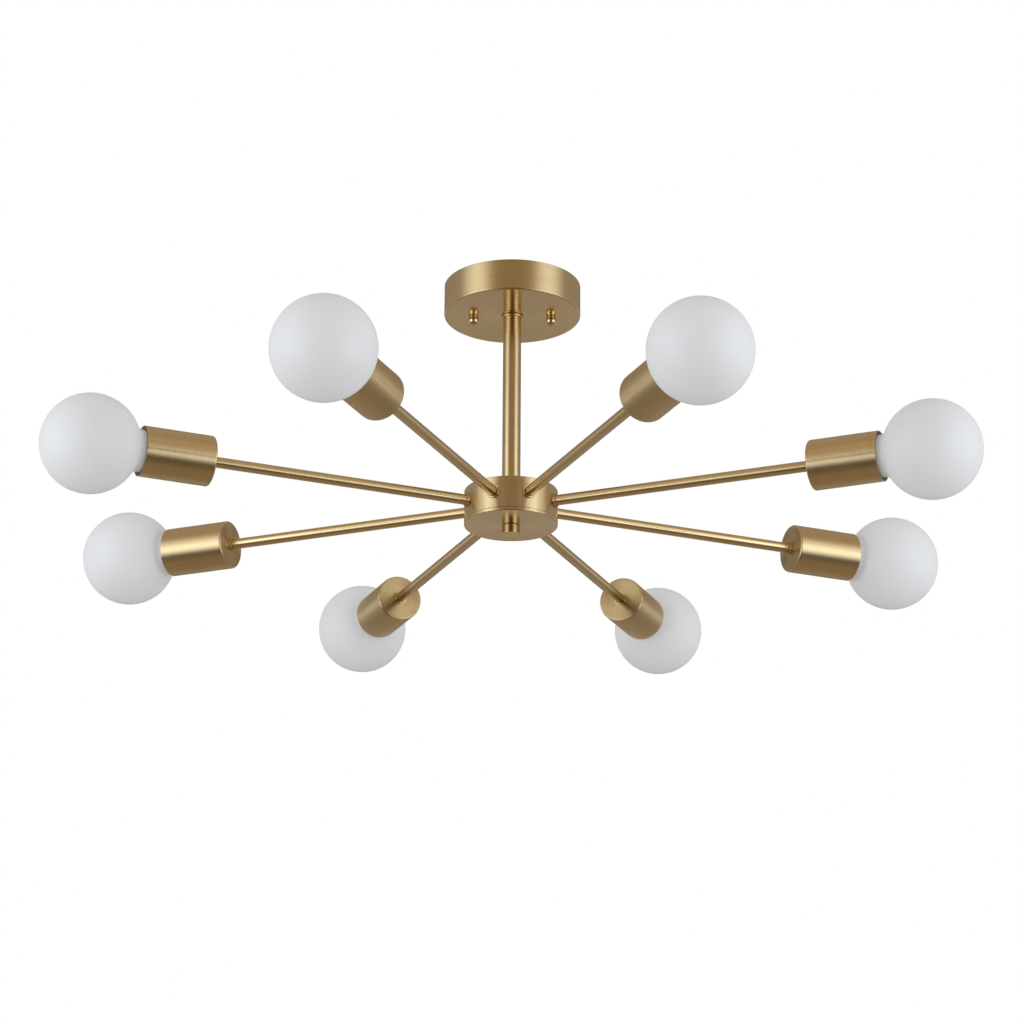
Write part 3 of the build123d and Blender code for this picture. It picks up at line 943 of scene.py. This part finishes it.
def make_tip(number, place, body):
    """The cap's black glass insulator and its soldered button."""
    node = f"bulb_tip_{number}"
    start, end = reach(node, ARMS[number])
    neck = start + BUTTON_H
    insulator = outline(
        [
            (neck, 0),
            (neck, INSULATOR_START_R),
            (start + INSULATOR_CONE_END, INSULATOR_R),
            (end, INSULATOR_R),
            (end, 0),
        ],
        {1: INSULATOR_START_EDGE, 2: INSULATOR_EDGE},
    )
    name = f"lamp_{number}_insulator"
    mesh = turned_mesh(name, insulator, closed=False, segments=64, shift=70)
    piece(name, mesh, place, INSULATOR, body, [node])
    button = outline(
        [(start, 0), (start, BUTTON_R), (neck + BUTTON_SEAT, BUTTON_R - BUTTON_TAPER)],
        {1: BUTTON_EDGE},
    )
    name = f"lamp_{number}_button"
    mesh = turned_mesh(name, button, closed=False, segments=64, shift=80)
    piece(name, mesh, place, CAP_METAL, body)


# Stage


CAMERA_DISTANCE = 2.5723
CAMERA_RISE = radians(20.18)  # how steeply the camera looks up at the hub's middle
CAMERA_ROLL = radians(0.39)
CAMERA_PAN = radians(-0.019)
CAMERA_TILT = radians(-0.059)
LENS = 109.41
CLIP_END = 100
FLOOR_Z = -2.3
FLOOR_HALF = 60.0
FLOOR_GLOW = 0.3
FLOOR_TONES = (colour(0.93, 0.93, 0.925), colour(0.90, 0.90, 0.895))
SOFTBOX_TURN = 63  # how far each softbox stands round from the camera's side
SOFTBOX_DISTANCE = 2.0
SOFTBOX_RISE = -0.13
SOFTBOX_WIDTH = 1.95
SOFTBOX_HEIGHT = 1.8
SOFTBOX_POWER = 16.2
SOFTBOX_TINT = (0.82, 0.895, 1.0)
# What the brass reflects on each side: turn from the camera, rise, width, height, power
SHEENS = {
    "high": (62, 0.1, 2.9, 3.1, 62),
    "low": (44, -0.4, 2.3, 2.0, 20),
}
SHEEN_TINT = (0.775, 0.89, 1.0)
FILL_BEHIND = colour(0.67, 0.67, 0.675)
FILL_FRONT = colour(0.57, 0.565, 0.56)
FILL_BELOW = colour(0.5, 0.495, 0.485)

# Where the room changes over, from and to, as the Y, the size of X and the Z of a direction
TO_FRONT = (-0.6, -0.1)
STRAIGHT_BEHIND = (0.3, 0.55)
TO_BELOW = (-1.0, -0.2)

# The room as gloss shows it: how bright and how warm, from straight down to straight up
ROOM_BEHIND = [
    (-1, 0.27, 0.8),
    (-0.5, 0.28, 0.4),
    (-0.3, 0.32, 0.3),
    (-0.15, 0.34, 0.2),
    (-0.04, 0.58, 0.05),
    (0.12, 0.62, 0.05),
    (0.28, 0.28, 0.25),
    (0.9, 0.44, 0.5),
]
ROOM_STRAIGHT_BEHIND = [
    (-1, 0.27, 0.8),
    (-0.5, 0.33, 0.4),
    (-0.34, 0.42, 0.2),
    (-0.26, 0.34, 0.2),
    (-0.16, 0.18, 0.3),
    (0.4, 0.18, 0.3),
    (0.9, 0.44, 0.5),
]
ROOM_FRONT = [
    (-1, 0.27, 0.8),
    (-0.85, 0.08, 0.95),
    (-0.5, 0.07, 0.95),
    (0.1, 0.2, 0.85),
    (0.34, 0.29, 0.85),
    (0.68, 0.6, 0.62),
    (0.95, 0.36, 0.5),
]


def make_camera():
    data = bpy.data.cameras.new("camera")
    data.lens = LENS
    data.clip_end = CLIP_END
    camera = bpy.data.objects.new("camera", data)
    bpy.context.scene.collection.objects.link(camera)
    hub = Vector((0, 0, HUB_MIDDLE_Z))
    back = Vector((0, -cos(CAMERA_RISE), -sin(CAMERA_RISE)))
    turn = (-back).to_track_quat("-Z", "Y").to_matrix().to_4x4()
    aim = Matrix.Rotation(CAMERA_PAN, 4, "Y") @ Matrix.Rotation(CAMERA_TILT, 4, "X")
    roll = Matrix.Rotation(CAMERA_ROLL, 4, "Z")
    camera.matrix_world = Matrix.Translation(hub + back * CAMERA_DISTANCE) @ turn @ aim @ roll
    bpy.context.scene.camera = camera


def make_floor():
    material, tree, shader = new_material("floor_paint")
    cloud = noise(tree, own_place(tree), 3.0, 4.0)
    base = mixed(tree, ranged(tree, cloud, 0.0, 1.0, 0.3, 0.7), *FLOOR_TONES)
    tree.links.new(base, shader.inputs["Base Color"])
    tree.links.new(base, shader.inputs["Emission Color"])
    shader.inputs["Emission Strength"].default_value = FLOOR_GLOW
    shader.inputs["Roughness"].default_value = 0.9
    mesh = bpy.data.meshes.new("floor")
    signs = ((-1, -1), (1, -1), (1, 1), (-1, 1))
    corners = [(x * FLOOR_HALF, y * FLOOR_HALF, 0) for x, y in signs]
    mesh.from_pydata(corners, [], [(0, 1, 2, 3)])
    mesh.materials.append(material)
    floor = bpy.data.objects.new("floor", mesh)
    floor.location.z = FLOOR_Z
    floor.visible_glossy = False
    floor.visible_diffuse = False
    bpy.context.scene.collection.objects.link(floor)


def make_softbox(name, place, width, height, power, tint):
    """A soft panel of light that faces the hub and isn't seen by the camera."""
    data = bpy.data.lights.new(name, "AREA")
    data.shape = "RECTANGLE"
    data.size = width
    data.size_y = height
    data.energy = power
    data.color = tint
    lamp = bpy.data.objects.new(name, data)
    bpy.context.scene.collection.objects.link(lamp)
    lamp.location = place
    target = Vector((0, 0, HUB_MIDDLE_Z))
    lamp.rotation_euler = (target - place).to_track_quat("-Z", "Y").to_euler()
    lamp.visible_camera = False
    return lamp


def fade_to_edges(light):
    """Makes a softbox brightest in the middle, fading out towards its edges."""
    light.use_nodes = True
    tree = light.node_tree
    tree.nodes.clear()
    spot = add(tree, "ShaderNodeNewGeometry").outputs["Parametric"]
    inputs = {0: spot, 1: (0.5, 0.5, 0)}
    from_middle = add(tree, "ShaderNodeVectorMath", inputs, operation="SUBTRACT")
    parts = add(tree, "ShaderNodeSeparateXYZ", {"Vector": from_middle.outputs["Vector"]})
    flat = add(tree, "ShaderNodeCombineXYZ", {"X": parts.outputs["X"], "Y": parts.outputs["Y"]})
    length = add(tree, "ShaderNodeVectorMath", {0: flat.outputs[0]}, operation="LENGTH")
    off_middle = length.outputs["Value"]
    glow = ranged(tree, off_middle, 0.0, 1.0, 0.5, 0.0, interpolation_type="SMOOTHSTEP")
    lit = add(tree, "ShaderNodeEmission", {"Strength": glow})
    add(tree, "ShaderNodeOutputLight", {"Surface": lit.outputs[0]})


def beside(turn, rise):
    """A softbox's place, turned round the object from the camera's side."""
    side = radians(turn)
    place = Vector((sin(side), -cos(side), 0)) * SOFTBOX_DISTANCE
    place.z = HUB_MIDDLE_Z + rise
    return place


def make_lights():
    """On each side a softbox that lights the lamps, and two that the brass reflects."""
    for name, sign in (("left", -1), ("right", 1)):
        place = beside(sign * SOFTBOX_TURN, SOFTBOX_RISE)
        lamp = make_softbox(
            f"softbox_{name}", place, SOFTBOX_WIDTH, SOFTBOX_HEIGHT, SOFTBOX_POWER, SOFTBOX_TINT
        )
        lamp.visible_glossy = False
        for level, (turn, rise, width, height, power) in SHEENS.items():
            place = beside(sign * turn, rise)
            sheen = make_softbox(f"sheen_{level}_{name}", place, width, height, power, SHEEN_TINT)
            sheen.visible_diffuse = False
            fade_to_edges(sheen.data)


def make_world():
    """White behind the object for the eye, pale for its lamps, and a grey room for gloss."""
    world = bpy.data.worlds.new("room")
    world.use_nodes = True
    world.cycles.sampling_method = "NONE"
    bpy.context.scene.world = world
    tree = world.node_tree
    tree.nodes.clear()
    direction = add(tree, "ShaderNodeTexCoord").outputs["Generated"]
    parts = add(tree, "ShaderNodeSeparateXYZ", {"Vector": direction})
    height = ranged(tree, parts.outputs["Z"], 0.0, 1.0, -1.0, 1.0)
    behind = ramp(tree, height, ROOM_BEHIND)
    front = ramp(tree, height, ROOM_FRONT)
    to_front = ranged(tree, parts.outputs["Y"], 1.0, 0.0, *TO_FRONT)
    straight = ramp(tree, height, ROOM_STRAIGHT_BEHIND)
    off_middle = math(tree, "ABSOLUTE", parts.outputs["X"])
    is_straight = ranged(tree, off_middle, 1.0, 0.0, *STRAIGHT_BEHIND)
    behind = mixed(tree, is_straight, behind, straight)
    room = mixed(tree, to_front, behind, front)
    fill = mixed(tree, to_front, FILL_BEHIND, FILL_FRONT)
    is_below = ranged(tree, parts.outputs["Z"], 1.0, 0.0, *TO_BELOW)
    fill = mixed(tree, is_below, fill, FILL_BELOW)
    path = add(tree, "ShaderNodeLightPath")
    light = mixed(tree, path.outputs["Is Diffuse Ray"], room, fill)
    lit = add(tree, "ShaderNodeBackground", {"Color": light, "Strength": 1.0})
    seen = add(tree, "ShaderNodeBackground", {"Color": colour(1, 1, 1), "Strength": 1.0})
    to_eye = path.outputs["Is Camera Ray"]
    both = add(tree, "ShaderNodeMixShader", {0: to_eye, 1: lit.outputs[0], 2: seen.outputs[0]})
    add(tree, "ShaderNodeOutputWorld", {"Surface": both.outputs[0]})


make_camera()
make_world()
make_floor()
make_lights()
dress_nodes()

make_canopy()
make_ball_nuts()
make_stem()
make_stem_collar()
make_hub_drum()
make_hub_cover()
make_finial()
for number, direction in ARMS.items():
    place = on_arm(direction)
    make_arm_tube(number, place)
    make_collars(number, place)
    make_cup(number, place)
    make_shell(number, place)
    make_globe(number, place, f"bulb_{number}")
    make_cap(number, place, f"bulb_{number}")
    make_tip(number, place, f"bulb_tip_{number}")

bpy.context.scene.view_settings.view_transform = "Standard"
